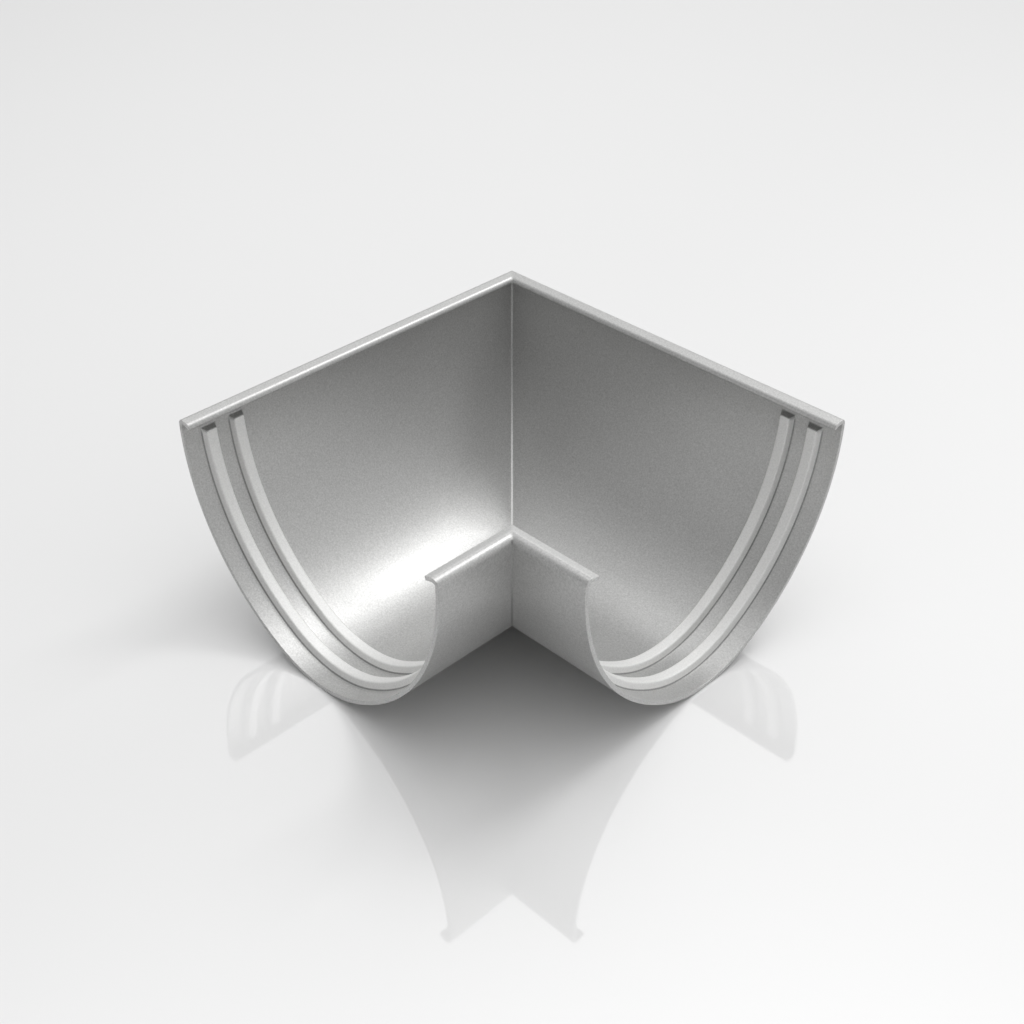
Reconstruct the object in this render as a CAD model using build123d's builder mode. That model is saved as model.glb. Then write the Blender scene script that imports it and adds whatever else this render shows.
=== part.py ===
from build123d import *
import math
import os

# Sizes, in millimetres and degrees
overall_width = 125.0
leg_length = 154.0
sheet = 1.5

# Trough section, measured on its outer face
bottom_radius = 44.5
side_radius = 77.0

# Bead curled inwards along the long outer wall
bead_wall = 0.8
bead_radius = 2.85
bead_wrap = 182.0

# Lip turned inwards along the short inner wall, and falling to its free edge
lip_wall = 1.7
lip_bend_radius = 2.7
lip_width = 5.9
lip_fall = 17.0

# Stop ribs standing on the inner face near both open ends
rib_base_width = 5.4
rib_top_width = 3.8
rib_height = 2.5
first_rib = 9.7
rib_spacing = 11.1
rib_end_drop = 3.0

# The bottom arc meets each side arc where their centres line up
half_width = overall_width / 2
arc_change = math.degrees(math.asin((side_radius - half_width) / (side_radius - bottom_radius)))
rim_z = bottom_radius + (side_radius - bottom_radius) * math.cos(math.radians(arc_change))
bead_z = rim_z + bead_wall
lip_z = rim_z + lip_wall
rib_end_turn = math.degrees(math.asin(rib_end_drop / (side_radius - sheet)))

# The outer corner is placed so that the part sits centred on the origin
corner = (-leg_length / 2, leg_length / 2, 0)
left_section = Plane(origin=corner, x_dir=(1, 0, 0), z_dir=(0, -1, 0))
mitre = Plane(origin=corner, z_dir=(1, 1, 0))


def trough_arcs(inset, turn=0):
    """The trough's three tangent arcs, inside its outer face, from a turn below each rim."""
    left_centre = (side_radius, rim_z)
    bottom_centre = (half_width, bottom_radius)
    right_centre = (overall_width - side_radius, rim_z)
    side_turn = 90 - arc_change - turn
    CenterArc(left_centre, side_radius - inset, 180 + turn, side_turn)
    CenterArc(bottom_centre, bottom_radius - inset, 270 - arc_change, 2 * arc_change)
    CenterArc(right_centre, side_radius - inset, 270 + arc_change, side_turn)


# Section of the bent sheet: bead, trough and lip in one outline
lip_turn = 90 + lip_fall
bend_centre = (overall_width - lip_bend_radius, lip_z)
lip_level = lip_width - lip_bend_radius + lip_bend_radius * math.cos(math.radians(lip_turn))
lip_flat = lip_level / math.cos(math.radians(lip_fall))

with BuildSketch(left_section) as sheet_section:
    with BuildLine():
        trough_arcs(0)
        trough_arcs(sheet)
        Line((0, rim_z), (0, bead_z))
        Line((sheet, rim_z), (sheet, bead_z))
        bead_outside = CenterArc((bead_radius, bead_z), bead_radius, 180, -bead_wrap)
        bead_inside = CenterArc((bead_radius, bead_z), bead_radius - sheet, 180, -bead_wrap)
        Line(bead_outside @ 1, bead_inside @ 1)
        Line((overall_width, rim_z), (overall_width, lip_z))
        Line((overall_width - sheet, rim_z), (overall_width - sheet, lip_z))
        bend_outside = CenterArc(bend_centre, lip_bend_radius, 0, lip_turn)
        bend_inside = CenterArc(bend_centre, lip_bend_radius - sheet, 0, lip_turn)
        lip_top = Line(bend_outside @ 1, bend_outside @ 1 + lip_flat * (bend_outside % 1))
        lip_underside = Line(bend_inside @ 1, bend_inside @ 1 + lip_flat * (bend_inside % 1))
        Line(lip_top @ 1, lip_underside @ 1)
    make_face()

with BuildPart() as gutter_angle:
    # Left leg, with its ribs, cut along the mitre
    extrude(sheet_section.sketch, amount=leg_length)
    for rib in (first_rib, first_rib + rib_spacing):
        # A rib's section follows the inner face, and its foot lies in the sheet
        with BuildLine(left_section.offset(leg_length - rib)) as inner_face:
            trough_arcs(sheet, rib_end_turn)
        rib_start = Plane(origin=inner_face.line @ 0, x_dir=(0, 1, 0), z_dir=inner_face.line % 0)
        with BuildSketch(rib_start):
            with BuildLine():
                Polyline(
                    (-rib_base_width / 2, -sheet / 2),
                    (-rib_base_width / 2, 0),
                    (-rib_top_width / 2, rib_height),
                    (rib_top_width / 2, rib_height),
                    (rib_base_width / 2, 0),
                    (rib_base_width / 2, -sheet / 2),
                    close=True,
                )
            make_face()
        sweep(path=inner_face.line)
    split(bisect_by=mitre, keep=Keep.BOTTOM)
    # The right leg is its mirror image, joined along the mitre
    mirror(about=mitre)

gutter_angle.part.label = "gutter_angle"
os.makedirs("parts", exist_ok=True)
export_step(gutter_angle.part, "parts/gutter_angle.step")

box = gutter_angle.part.bounding_box()
print("size mm", box.size.X, box.size.Y, box.size.Z, "bottom", box.min.Z)
print("solids", len(gutter_angle.part.solids()), "volume", gutter_angle.part.volume)
print("centre of mass", gutter_angle.part.center(CenterOf.MASS))
print("arc change", arc_change, "rim height", rim_z, "rib end turn", rib_end_turn)
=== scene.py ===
# %% [markdown]
# # A gutter angle in zinc-coated steel
#
# This part carries a half-round gutter round the outside corner of a roof. Two short legs of
# trough meet in a mitre. The long outer walls end in a small curled bead, and the short inner
# walls end in a lip that is turned inwards. Two ribs stand inside each open end.
#
# Everything that shows is one bent sheet, so the lesson is about one mesh: draw its section
# once, pull it along the leg, give it its thickness, raise the ribs, cut the mitre and mirror it.
# After that come the metal, the floor, the lights and the camera.

import math

import bmesh
import bpy
from mathutils import Matrix, Vector


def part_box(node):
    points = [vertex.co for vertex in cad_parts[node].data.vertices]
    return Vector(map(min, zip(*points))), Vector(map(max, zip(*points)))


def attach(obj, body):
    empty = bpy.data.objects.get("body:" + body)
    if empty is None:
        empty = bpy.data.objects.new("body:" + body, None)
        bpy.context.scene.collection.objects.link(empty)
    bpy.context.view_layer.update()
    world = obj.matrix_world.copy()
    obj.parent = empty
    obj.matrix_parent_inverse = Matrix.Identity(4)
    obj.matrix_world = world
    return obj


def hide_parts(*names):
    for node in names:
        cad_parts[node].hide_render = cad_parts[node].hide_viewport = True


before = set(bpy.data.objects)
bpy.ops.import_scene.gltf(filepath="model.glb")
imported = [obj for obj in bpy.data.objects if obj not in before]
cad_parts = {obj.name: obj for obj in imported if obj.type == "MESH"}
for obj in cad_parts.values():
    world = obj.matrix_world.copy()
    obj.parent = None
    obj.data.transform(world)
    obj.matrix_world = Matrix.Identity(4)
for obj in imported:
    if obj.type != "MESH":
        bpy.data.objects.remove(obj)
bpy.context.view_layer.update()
print("nodes:", sorted(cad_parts))

# %% [markdown]
# ## Sizes
#
# The frame gives the length of a leg and the place of the outer corner. The sizes inside the
# section can't be read from a box, so they are named here, in metres, as the maker's drawing
# would give them.

# %% Sizes of the section
MM = 0.001

angle_low, angle_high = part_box("gutter_angle")
leg_length = angle_high.x - angle_low.x
corner = Vector((angle_low.x, angle_high.y, 0))

overall_width = 125 * MM
sheet = 1.5 * MM
bottom_radius = 44.5 * MM
side_radius = 77 * MM

bead_width = 5.7 * MM
bead_height = 3.1 * MM
bead_tip = 0.8 * MM
bead_bend_radius = 1.8 * MM
bead_curl_radius = 1.75 * MM
bead_fall = math.radians(6)

lip_wall = 1.7 * MM
lip_bend_radius = 2.7 * MM
lip_width = 5.9 * MM
lip_fall = math.radians(17)

rib_base_width = 5.4 * MM
rib_top_width = 3.8 * MM
rib_height = 2.5 * MM
first_rib = 9.7 * MM
rib_spacing = 11.1 * MM
rib_end_drop = 3 * MM

half_width = overall_width / 2
arc_change = math.asin((side_radius - half_width) / (side_radius - bottom_radius))
rim_z = bottom_radius + (side_radius - bottom_radius) * math.cos(arc_change)
print("leg", round(leg_length / MM, 2), "mm, rim at", round(rim_z / MM, 2), "mm")

# %% [markdown]
# ## The section as one line
#
# A sheet-metal worker thinks of the section as a line that is bent, not as an outline. The same
# works in a mesh: one vertex starts at the tip of the bead, and every bend is a spin of the last
# vertex about the bend's centre. A spin gives true arcs, and the number of steps says how smooth
# each one is. Every bend turns the same way, because bead and lip both curl inwards.
#
# The line is the outer face of the sheet. The wall gets its thickness later, inwards. A bend in
# the line therefore stays wider than the sheet is thick, or the inner side would fold over.

# %% Helpers that draw the line
TURN_AXIS = Vector((0, -1, 0))


def bend(mesh, vertex, centre_x, centre_z, angle, steps):
    """Spins the line's last vertex about a centre in the section and returns the new end."""
    made = bmesh.ops.spin(
        mesh, geom=[vertex], cent=(centre_x, 0, centre_z), axis=TURN_AXIS,
        dvec=(0, 0, 0), angle=angle, steps=steps, use_merge=False,
        use_normal_flip=False, use_duplicate=False)
    return [item for item in made["geom_last"] if isinstance(item, bmesh.types.BMVert)][0]


def run(mesh, vertex, offset):
    """Adds a straight run to the line and returns the new end."""
    made = bmesh.ops.extrude_vert_indiv(mesh, verts=[vertex])
    bmesh.ops.translate(mesh, verts=made["verts"], vec=offset)
    return made["verts"][0]


# %% Draw the section
curl_steps = 12
bend_steps = 14
rib_end_steps = 2
side_steps = 44
bottom_steps = 40


def draw_bead(mesh):
    """The line from the tip of the bead over its two bends and down to the rim."""
    bend_z = rim_z + bead_height - bead_bend_radius
    curl_x = bead_width - bead_curl_radius
    radius_change = bead_curl_radius - bead_bend_radius
    top_run = curl_x - bead_bend_radius + radius_change * math.sin(bead_fall)
    top_rise = top_run * math.tan(bead_fall)
    curl_z = bend_z - radius_change * math.cos(bead_fall) - top_rise

    end = bmesh.ops.create_vert(mesh, co=(bead_width, 0, rim_z + bead_tip))["vert"][0]
    end = run(mesh, end, (0, 0, curl_z - rim_z - bead_tip))
    end = bend(mesh, end, curl_x, curl_z, math.pi / 2 - bead_fall, curl_steps)
    end = run(mesh, end, (-top_run, 0, top_rise))
    end = bend(mesh, end, bead_bend_radius, bend_z, math.pi / 2 + bead_fall, bend_steps)
    return run(mesh, end, (0, 0, rim_z - bend_z))


def draw_trough(mesh, end):
    """The three arcs from rim to rim, with a point on each side where the ribs end."""
    far_side = overall_width - side_radius
    rib_turn = math.asin(rib_end_drop / (side_radius - sheet))
    side_turn = math.pi / 2 - arc_change - rib_turn
    end = bend(mesh, end, side_radius, rim_z, rib_turn, rib_end_steps)
    end = bend(mesh, end, side_radius, rim_z, side_turn, side_steps)
    end = bend(mesh, end, half_width, bottom_radius, 2 * arc_change, bottom_steps)
    end = bend(mesh, end, far_side, rim_z, side_turn, side_steps)
    return bend(mesh, end, far_side, rim_z, rib_turn, rib_end_steps)


def draw_lip(mesh, end):
    """The short upright wall, the lip's bend and the lip, which falls to its edge."""
    turn = math.pi / 2 + lip_fall
    level = lip_width - lip_bend_radius + lip_bend_radius * math.cos(turn)
    bend_x = overall_width - lip_bend_radius
    end = run(mesh, end, (0, 0, lip_wall))
    end = bend(mesh, end, bend_x, rim_z + lip_wall, turn, bend_steps)
    run(mesh, end, (-level, 0, -level * math.tan(lip_fall)))


angle_mesh = bmesh.new()
draw_lip(angle_mesh, draw_trough(angle_mesh, draw_bead(angle_mesh)))
print("section line:", len(angle_mesh.verts), "points")

# %% [markdown]
# ## From a line to a leg
#
# The line is pulled along the leg in a few steps, which end where a rib starts or stops, so that
# each rib has a strip of faces of its own. Solidify then adds the thickness on the inside. It is
# done before the mitre is cut, so that both faces of the sheet end in the same plane.

# %% Pull the line along the leg
def pull_along(mesh, stops):
    """Extrudes the section line along -Y, with a ring of edges at each stop."""
    edges = mesh.edges[:]
    reached = 0.0
    for stop in stops:
        made = bmesh.ops.extrude_edge_only(mesh, edges=edges)
        verts = [item for item in made["geom"] if isinstance(item, bmesh.types.BMVert)]
        bmesh.ops.translate(mesh, verts=verts, vec=(0, reached - stop, 0))
        moved = set(verts)
        edges = [edge for edge in mesh.edges if edge.verts[0] in moved and edge.verts[1] in moved]
        reached = stop


rib_centres = [leg_length - first_rib - rib_spacing, leg_length - first_rib]
rib_strips = [(place - rib_base_width / 2, place + rib_base_width / 2) for place in rib_centres]
pull_along(angle_mesh, [place for strip in rib_strips for place in strip] + [leg_length])
print("faces of the outer side:", len(angle_mesh.faces))


# %% Give the sheet its thickness
def faces_inwards(face):
    """True where a face of the trough looks towards the water."""
    towards_water = Vector((half_width, 0, rim_z)) - face.calc_center_median()
    towards_water.y = 0
    return face.normal.dot(towards_water) > 0


bmesh.ops.recalc_face_normals(angle_mesh, faces=angle_mesh.faces[:])
bottom_face = min(angle_mesh.faces, key=lambda face: face.calc_center_median().z)
if faces_inwards(bottom_face):
    bmesh.ops.reverse_faces(angle_mesh, faces=angle_mesh.faces[:])
bmesh.ops.solidify(angle_mesh, geom=angle_mesh.faces[:], thickness=sheet)
bmesh.ops.recalc_face_normals(angle_mesh, faces=angle_mesh.faces[:])
lows = [round(min(vert.co[axis] for vert in angle_mesh.verts) / MM, 2) for axis in range(3)]
highs = [round(max(vert.co[axis] for vert in angle_mesh.verts) / MM, 2) for axis in range(3)]
print("leg from", lows, "to", highs)

# %% [markdown]
# ## Ribs
#
# The ribs are a little narrower on top than at the foot, and they start a little below the bead.
# The strips of faces are ready, so one inset gives the sloping sides and its depth the height.
# That keeps the leg one closed mesh, where separate bars would only stand in it.

# %% Raise the ribs
def in_rib_strip(face):
    """True for the faces of the inner side that a rib stands on."""
    middle = face.calc_center_median()
    in_strip = any(start < -middle.y < stop for start, stop in rib_strips)
    below_end = middle.z < rim_z - rib_end_drop
    return in_strip and below_end and faces_inwards(face)


rib_faces = [face for face in angle_mesh.faces if in_rib_strip(face)]
bmesh.ops.inset_region(
    angle_mesh, faces=rib_faces, thickness=(rib_base_width - rib_top_width) / 2, depth=rib_height,
    use_boundary=True, use_even_offset=True)
print("rib faces:", len(rib_faces))

# %% [markdown]
# ## Small radii
#
# A cut or folded edge is never perfectly sharp, and the thin bright lines along the real angle's
# edges come from those small radii. The ribs' feet and tops are rounded first, each picked by its
# height above the inner face, and the last bevel takes every edge that is still sharp.

# %% Find the sharp edges
sharp_angle = math.radians(40)
rib_margin = 1 * MM
height_slack = 0.1 * MM


def height_inside(place):
    """How far a place of the leg stands above the trough's inner face."""
    across = place.x - half_width
    if abs(across) < math.tan(arc_change) * (bottom_radius - place.z):
        return bottom_radius - math.hypot(across, bottom_radius - place.z) - sheet
    centre = math.copysign(side_radius - half_width, -across)
    return side_radius - math.hypot(across - centre, rim_z - place.z) - sheet


def in_rib_area(place):
    """True for a place in or just beside a rib's strip, below the ribs' ends."""
    in_strip = any(start - rib_margin < -place.y < stop + rib_margin for start, stop in rib_strips)
    return in_strip and place.z < rim_z - rib_end_drop + rib_margin


def sharp_edges(mesh):
    """Edges between two faces that meet at more than the sharp angle."""
    joined = [edge for edge in mesh.edges if len(edge.link_faces) == 2]
    return [edge for edge in joined if edge.calc_face_angle() > sharp_angle]


def rib_edges(mesh, height):
    """Sharp edges of the ribs that lie wholly at one height above the inner face."""
    found = []
    for edge in sharp_edges(mesh):
        off = max(abs(height_inside(vert.co) - height) for vert in edge.verts)
        if in_rib_area(edge.verts[0].co) and off < height_slack:
            found.append(edge)
    return found


# %% Round them
cut_radius = 0.22 * MM
rib_radius = 0.5 * MM
foot_radius = 0.5 * MM
faces_round_edge = 3


def round_edges(mesh, edges, radius):
    """Rounds edges with a few faces each."""
    bmesh.ops.bevel(
        mesh, geom=edges, offset=radius, offset_type="OFFSET", affect="EDGES",
        segments=faces_round_edge, profile=0.5, material=-1, clamp_overlap=True)


foot_edges = rib_edges(angle_mesh, 0)
round_edges(angle_mesh, foot_edges, foot_radius)
top_edges = rib_edges(angle_mesh, rib_height)
round_edges(angle_mesh, top_edges, rib_radius)
cut_edges = sharp_edges(angle_mesh)
round_edges(angle_mesh, cut_edges, cut_radius)
print("rounded edges:", len(foot_edges), "at feet,", len(top_edges), "on ribs,", len(cut_edges), "cut")

# %% [markdown]
# ## Tone
#
# The ribs stand proud, so they are rubbed to a paler satin than the sheet. The tops of bead and lip
# get a painted highlight, and painted shade darkens the bead's lower edge at its tip, the ribs' feet
# and the slopes at their upper ends, which lie under the bead. One number on each vertex carries
# that to the material: 0 for the sheet, up to 1 for the paler ribs and the painted highlights, and
# down to -1 for the painted shade. The narrow faces of the rounded feet keep the change of tone
# within a fraction of a millimetre.

# %% Paint the ribs, the bead and the lip
rib_tone = 1
# Painted shade at the ribs' feet, on the ribs' upper ends under the bead and at the bead's tip;
# painted highlights on the tops of lip and bead.
rib_foot_painted_shade = -0.7
rib_end_painted_shade = -0.1
lip_painted_highlight = 0.5
lip_bend_painted_highlight = 0.1
bead_painted_highlight = 0.2
bead_tip_painted_shade = -0.3

on_sheet = 0.02 * MM
rib_feet = 0.4 * MM
end_slope = rim_z - rib_end_drop - 0.9 * MM
lip_top = rim_z + 3.4 * MM
bead_top = rim_z + 2.2 * MM
bead_bottom = rim_z + bead_tip + 0.3 * MM


def tone_at(place):
    """The tone of one place: 0 for the sheet, above 0 for the paler ribs and the painted highlights,
    below 0 for painted shade.
    """
    height = height_inside(place)
    # Painted highlights on the lip and the bead's top, painted shade at the bead's tip, the ribs' ends
    # and their feet.
    if place.x > half_width and place.z > lip_top:
        return lip_painted_highlight if place.x < overall_width - lip_bend_radius else lip_bend_painted_highlight
    if place.x < half_width and place.z > bead_top:
        return bead_painted_highlight
    if place.x < half_width and rim_z < place.z < bead_bottom:
        return bead_tip_painted_shade
    if not in_rib_area(place) or height < on_sheet:
        return 0
    if place.z > end_slope:
        return rib_end_painted_shade
    return rib_tone if height > rib_feet else rib_foot_painted_shade


tone = angle_mesh.verts.layers.float.new("tone")
for vert in angle_mesh.verts:
    vert[tone] = tone_at(vert.co)
print("rubbed:", sum(vert[tone] > 0 for vert in angle_mesh.verts), "vertices")

# %% [markdown]
# ## The mitre
#
# The leg is cut on the plane that halves the corner and then mirrored in it. Turned by 45 degrees
# about the corner, that plane is X = 0, which is what the mirror operator works with. Welding the
# two rims leaves one closed shell.
#
# A second cut beside the mitre leaves a strip of narrow faces along it. The sheet bends within
# that strip alone, so the walls stay flat up to it and the fold catches a line of light. Inside
# the trough the fold also gets a painted highlight, strongest low down, and in the valley on the
# house side it gets painted shade.

# %% Cut, mirror and weld
fold_width = 0.5 * MM
cut_slack = 1e-7
weld_gap = 1e-6


def everything(mesh):
    """All vertices, edges and faces, as the operators take them."""
    return mesh.verts[:] + mesh.edges[:] + mesh.faces[:]


def mitre(mesh):
    """Cuts the leg at 45 degrees and adds its mirror image."""
    across = Vector((1, 1, 0)).normalized()
    for inset, clears in ((0, True), (fold_width, False)):
        bmesh.ops.bisect_plane(
            mesh, geom=everything(mesh), dist=cut_slack, plane_co=-inset * across,
            plane_no=across, clear_outer=clears)
    to_plane = Matrix.Rotation(math.radians(-45), 3, "Z")
    bmesh.ops.rotate(mesh, cent=(0, 0, 0), matrix=to_plane, verts=mesh.verts[:])
    bmesh.ops.mirror(mesh, geom=everything(mesh), merge_dist=weld_gap, axis="X")
    bmesh.ops.rotate(mesh, cent=(0, 0, 0), matrix=to_plane.inverted(), verts=mesh.verts[:])
    bmesh.ops.remove_doubles(mesh, verts=mesh.verts[:], dist=weld_gap)
    bmesh.ops.recalc_face_normals(mesh, faces=mesh.faces[:])


mitre(angle_mesh)
open_edges = [edge for edge in angle_mesh.edges if len(edge.link_faces) != 2]
print("open edges after the weld:", len(open_edges))
print("volume mm3:", round(angle_mesh.calc_volume() / MM ** 3))

# %% Paint the fold
# Painted highlight along the fold inside the trough, full low down and faint higher up, and painted
# shade in the valley on the house side.
faint_fold_highlight = 0.1
fold_painted_shade = -0.85
fold_highlight_low = 14 * MM
fold_highlight_high = 28 * MM


def fold_tone(vert):
    """The tone of a vertex in the mitre plane: painted shade in the valley on the house side and a
    painted highlight inside the trough. On the bead and the lip it keeps the one it has.
    """
    place = vert.co
    on_house_side = place.x > half_width and height_inside(place) < -sheet / 2
    if on_house_side and place.z < lip_top:
        return fold_painted_shade
    # Inside the trough: the painted highlight, full below the low height and faint above the high one.
    if place.z < rim_z:
        highlight_share = (fold_highlight_high - place.z) / (fold_highlight_high - fold_highlight_low)
        return min(max(highlight_share, faint_fold_highlight), 1)
    return vert[tone]


fold = [vert for vert in angle_mesh.verts if abs(vert.co.x + vert.co.y) < weld_gap]
for vert in fold:
    vert[tone] = fold_tone(vert)
print("fold:", len(fold), "vertices in the mitre plane")

# %% Make the object
largest_faces_only = 100


def finish_mesh(mesh, name):
    """Turns the bmesh into an object with smooth faces and level normals on its flats."""
    for face in mesh.faces:
        face.smooth = True
    data = bpy.data.meshes.new(name)
    mesh.to_mesh(data)
    mesh.free()
    piece = bpy.data.objects.new(name, data)
    bpy.context.scene.collection.objects.link(piece)
    weighted = piece.modifiers.new("level normals", "WEIGHTED_NORMAL")
    weighted.weight = largest_faces_only
    return piece


bmesh.ops.translate(angle_mesh, verts=angle_mesh.verts[:], vec=corner)
angle = finish_mesh(angle_mesh, "angle_sheet")
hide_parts("gutter_angle")
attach(angle, "root")
print("faces:", len(angle.data.polygons))

# %% [markdown]
# ## Zinc-coated steel
#
# Hot-dip zinc that has dulled is a satin metal under a thin grey skin of oxide, so the material is
# partly metallic: some of its light is reflected and some comes from the skin. A grain of about
# half a millimetre sits in the colour and in the bump, and faint clouds make the coating a little
# duller in places. The tone of each vertex makes the colour paler or darker: paler on the ribs,
# paler as a painted highlight on bead, lip and fold, and darker as painted shade. Where the tone is
# pale the metal is also duller, and it has lost most of its grain.
#
# All of it is noise and arithmetic on numbers, so a few small helpers keep the material readable.

# %% Helpers for node trees
def node(tree, kind, **values):
    """Adds a node and sets its properties or the defaults of its inputs."""
    made = tree.nodes.new(kind)
    for name, value in values.items():
        if name in made.inputs:
            made.inputs[name].default_value = value
        else:
            setattr(made, name, value)
    return made


def map_range(tree, value, source, target, **values):
    """Maps a value from one range onto another, and stops at both ends."""
    made = node(tree, "ShaderNodeMapRange", **values)
    for name, number in zip(("From Min", "From Max", "To Min", "To Max"), source + target):
        made.inputs[name].default_value = number
    tree.links.new(value, made.inputs["Value"])
    return made.outputs["Result"]


def combine(tree, operation, first, second):
    """Gives the result of one Math node that works on two values."""
    made = node(tree, "ShaderNodeMath", operation=operation)
    tree.links.new(first, made.inputs[0])
    tree.links.new(second, made.inputs[1])
    return made.outputs["Value"]


def mix_with(tree, share, value, number):
    """Moves a value towards a plain number by a share from 0 to 1."""
    made = node(tree, "ShaderNodeMix", B=number)
    tree.links.new(share, made.inputs["Factor"])
    tree.links.new(value, made.inputs["A"])
    return made.outputs["Result"]


def scale_colour(tree, colour, factor):
    """Makes a colour paler or darker."""
    made = node(tree, "ShaderNodeVectorMath", operation="SCALE")
    tree.links.new(colour, made.inputs["Vector"])
    tree.links.new(factor, made.inputs["Scale"])
    return made.outputs["Vector"]


# %% Grain, clouds and colour
noise_range = (0.3, 0.7)
noise_middle = 0.5
noise_detail = 3.0
dark_zinc = (0.405, 0.405, 0.4, 1)
pale_zinc = (0.595, 0.595, 0.588, 1)
darkest_painted_shade = 0.35
palest_factor = 1.68


def noise(tree, scale, roughness):
    """A noise on the piece's own coordinates."""
    place = node(tree, "ShaderNodeTexCoord").outputs["Object"]
    made = node(tree, "ShaderNodeTexNoise", Scale=scale, Detail=noise_detail, Roughness=roughness)
    tree.links.new(place, made.inputs["Vector"])
    return made.outputs["Fac"]


def zinc_colour(tree, grain, painted):
    """The grain between two greys, made darker by painted shade and paler by the ribs' tone and the
    painted highlights.
    """
    greys = node(tree, "ShaderNodeValToRGB")
    for stop, position, grey in zip(greys.color_ramp.elements, noise_range, (dark_zinc, pale_zinc)):
        stop.position = position
        stop.color = grey
    tree.links.new(grain, greys.inputs["Fac"])
    # Tones below 0 are painted shade; tones above 0 are the ribs' paler satin and painted highlights.
    painted_shade_factor = map_range(tree, painted, (-1, 0), (darkest_painted_shade, 1))
    paleness_and_highlight = map_range(tree, painted, (0, 1), (1, palest_factor))
    return scale_colour(tree, scale_colour(tree, greys.outputs["Color"], painted_shade_factor), paleness_and_highlight)


# %% The metal
metal_share = 0.6
grain_scale = 1700.0
grain_roughness = 0.75
cloud_scale = 38.0
cloud_roughness = 0.55
satin_range = (0.34, 0.42)
extra_roughness = 0.3
lost_grain = 0.65
bump_strength = 0.25
bump_depth = 0.05 * MM


def zinc_coated_steel():
    """Satin zinc with a fine grain."""
    material = bpy.data.materials.new("zinc_coated_steel")
    material.use_nodes = True
    tree = material.node_tree
    shader = tree.nodes["Principled BSDF"]
    shader.inputs["Metallic"].default_value = metal_share

    painted = node(tree, "ShaderNodeAttribute", attribute_name="tone").outputs["Fac"]
    lost = map_range(tree, painted, (0, 1), (0, lost_grain))
    grain = mix_with(tree, lost, noise(tree, grain_scale, grain_roughness), noise_middle)
    tree.links.new(zinc_colour(tree, grain, painted), shader.inputs["Base Color"])

    satin = map_range(tree, noise(tree, cloud_scale, cloud_roughness), noise_range, satin_range)
    duller = map_range(tree, painted, (0, 1), (0, extra_roughness))
    tree.links.new(combine(tree, "ADD", satin, duller), shader.inputs["Roughness"])

    bump = node(tree, "ShaderNodeBump", Strength=bump_strength, Distance=bump_depth)
    tree.links.new(grain, bump.inputs["Height"])
    tree.links.new(bump.outputs["Normal"], shader.inputs["Normal"])
    return material


zinc = zinc_coated_steel()
angle.data.materials.append(zinc)
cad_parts["gutter_angle"].data.materials.clear()
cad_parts["gutter_angle"].data.materials.append(zinc)
print("materials:", [slot.name for slot in angle.data.materials])

# %% [markdown]
# ## Floor
#
# The angle stands on a pale floor with a slight gloss, which shows a faint mirror image of it.
# Far from the angle the floor fades into a plain pale backdrop, for the camera and in reflections
# only, so it adds no light to the metal.

# %% A fade into the backdrop
fade_start = 0.8
fade_end = 1.7
backdrop_grey = 0.8


def seen_or_mirrored(tree):
    """Gives 1 for rays from the camera and in reflections, and 0 for the light on a surface."""
    rays = node(tree, "ShaderNodeLightPath").outputs
    return combine(tree, "MAXIMUM", rays["Is Camera Ray"], rays["Is Glossy Ray"])


def fade_to_backdrop(material):
    """Mixes a plain grey over the material away from the middle."""
    tree = material.node_tree
    distance = node(tree, "ShaderNodeVectorMath", operation="LENGTH")
    tree.links.new(node(tree, "ShaderNodeTexCoord").outputs["Object"], distance.inputs[0])
    fade = map_range(
        tree, distance.outputs["Value"], (fade_start, fade_end), (0, 1),
        interpolation_type="SMOOTHSTEP")
    share = combine(tree, "MULTIPLY", fade, seen_or_mirrored(tree))
    plain = node(tree, "ShaderNodeEmission", Strength=backdrop_grey)
    mixed = node(tree, "ShaderNodeMixShader")
    tree.links.new(share, mixed.inputs["Fac"])
    tree.links.new(tree.nodes["Principled BSDF"].outputs["BSDF"], mixed.inputs[1])
    tree.links.new(plain.outputs["Emission"], mixed.inputs[2])
    tree.links.new(mixed.outputs["Shader"], tree.nodes["Material Output"].inputs["Surface"])


# %% The floor
floor_size = 60.0
floor_colour = (0.88, 0.88, 0.88, 1)
floor_roughness = 0.04
floor_ior = 2.3


def pale_floor():
    """The floor's material."""
    material = bpy.data.materials.new("pale_floor")
    material.use_nodes = True
    shader = material.node_tree.nodes["Principled BSDF"]
    shader.inputs["Base Color"].default_value = floor_colour
    shader.inputs["Roughness"].default_value = floor_roughness
    shader.inputs["IOR"].default_value = floor_ior
    fade_to_backdrop(material)
    return material


def make_floor():
    """A wide pale floor with a soft gloss."""
    mesh = bmesh.new()
    bmesh.ops.create_grid(mesh, x_segments=1, y_segments=1, size=floor_size / 2)
    data = bpy.data.meshes.new("floor")
    mesh.to_mesh(data)
    mesh.free()
    piece = bpy.data.objects.new("floor", data)
    bpy.context.scene.collection.objects.link(piece)
    data.materials.append(pale_floor())
    return piece


floor = make_floor()
print("floor:", floor_size, "m wide, plain from", fade_end, "m out")

# %% [markdown]
# ## Light
#
# One soft lamp stands behind the angle on the right. It draws the white lines on the left-hand
# bead and lip and the glow in the bottom of the left-hand trough. The rest of the light is the
# studio itself, a world of broad soft patches: the brightest hangs overhead, and weaker ones stand
# round about, so each wall of the trough has its own grey. Together they leave the darkest shadow
# in the notch between the legs. Just above the floor the world has the backdrop's grey, for the
# camera and in reflections.

# %% The lamp
aim = Vector((0, 0, 30 * MM))
towards_camera = Vector((1, -1, 0)).normalized()
to_the_right = Vector((1, 1, 0)).normalized()

key_distance = 3
key_size = 0.86
key_power = 17.5


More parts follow.
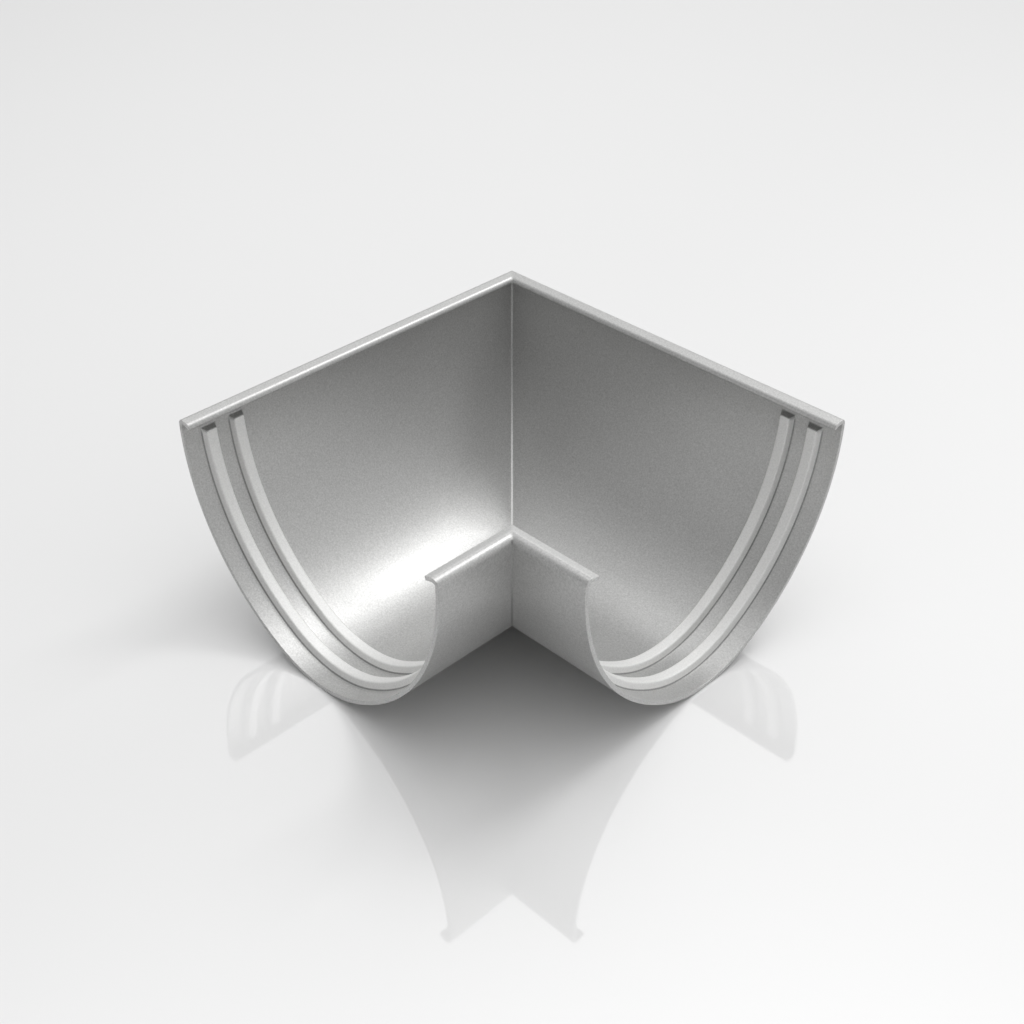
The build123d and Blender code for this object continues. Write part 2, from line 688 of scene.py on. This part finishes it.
def heading(side, height):
    """A direction from its side angle (0 at the camera, 90 at the right) and its height."""
    side = math.radians(side)
    height = math.radians(height)
    level = towards_camera * math.cos(side) + to_the_right * math.sin(side)
    return level * math.cos(height) + Vector((0, 0, math.sin(height)))


def soft_light(name, location, size, power):
    """A square area light that points at the angle."""
    data = bpy.data.lights.new(name, "AREA")
    data.shape = "SQUARE"
    data.size = size
    data.energy = power
    light = bpy.data.objects.new(name, data)
    light.location = location
    light.rotation_mode = "QUATERNION"
    light.rotation_quaternion = (aim - location).to_track_quat("-Z", "Y")
    bpy.context.scene.collection.objects.link(light)
    return light


key = soft_light("key", aim + heading(130, 52) * key_distance, key_size, key_power)
print("lamp at", [round(place, 2) for place in key.location])

# %% The studio
patches = {
    "overhead": (heading(0, 90), 1.47),
    "front right": (heading(45, 15), 0.63),
    "front left": (heading(315, 15), 0.44),
    "right": (heading(90, 15), 0.31),
    "left": (heading(270, 15), 0.34),
    "right behind": (heading(120, 45), 0.61),
    "behind, high": (heading(180, 45), 0.52),
    "behind, low": (heading(180, 15), 0.2),
}
patch_reach = math.radians(48)
between_patches = 0.014
backdrop_top = math.radians(12)


def add_patches(tree, direction):
    """Adds the patches up for one direction and returns the strength of the light."""
    total = node(tree, "ShaderNodeValue").outputs["Value"]
    total.default_value = between_patches
    for towards, strength in patches.values():
        facing = node(tree, "ShaderNodeVectorMath", operation="DOT_PRODUCT")
        facing.inputs[1].default_value = towards
        tree.links.new(direction, facing.inputs[0])
        patch = map_range(
            tree, facing.outputs["Value"], (math.cos(patch_reach), 1), (0, strength),
            interpolation_type="SMOOTHSTEP")
        total = combine(tree, "ADD", total, patch)
    return total


def studio():
    """The world that lights the angle, with the backdrop's grey just above the floor."""
    world = bpy.data.worlds.new("studio")
    world.use_nodes = True
    tree = world.node_tree
    direction = node(tree, "ShaderNodeTexCoord").outputs["Generated"]
    rising = node(tree, "ShaderNodeSeparateXYZ")
    tree.links.new(direction, rising.inputs["Vector"])
    low_down = map_range(
        tree, rising.outputs["Z"], (math.sin(backdrop_top), 0), (0, 1),
        interpolation_type="SMOOTHSTEP")
    share = combine(tree, "MULTIPLY", low_down, seen_or_mirrored(tree))
    strength = mix_with(tree, share, add_patches(tree, direction), backdrop_grey)
    background = tree.nodes["Background"]
    background.inputs["Color"].default_value = (1, 1, 1, 1)
    tree.links.new(strength, background.inputs["Strength"])
    return world


bpy.context.scene.world = studio()
print("patches:", len(patches))

# %% [markdown]
# ## Camera
#
# The camera looks straight into the mitre, so the two legs mirror each other in the picture. It
# stands half a metre in front of the outer corner and a third of a metre up, and looks down at
# 35.4 degrees.

# %% The camera
camera_back = 528.4 * MM
camera_height = 337.75 * MM
camera_pitch = math.radians(35.44)
camera_lens = 53.16

camera_data = bpy.data.cameras.new("camera")
camera_data.lens = camera_lens
camera_data.sensor_width = 36
camera_data.clip_start = 10 * MM
camera = bpy.data.objects.new("camera", camera_data)
camera.location = corner + towards_camera * camera_back + Vector((0, 0, camera_height))
camera.rotation_euler = (math.pi / 2 - camera_pitch, 0, math.pi / 4)
bpy.context.scene.collection.objects.link(camera)
bpy.context.scene.camera = camera
bpy.context.scene.view_settings.view_transform = "Standard"
print("camera at", [round(place, 3) for place in camera.location])
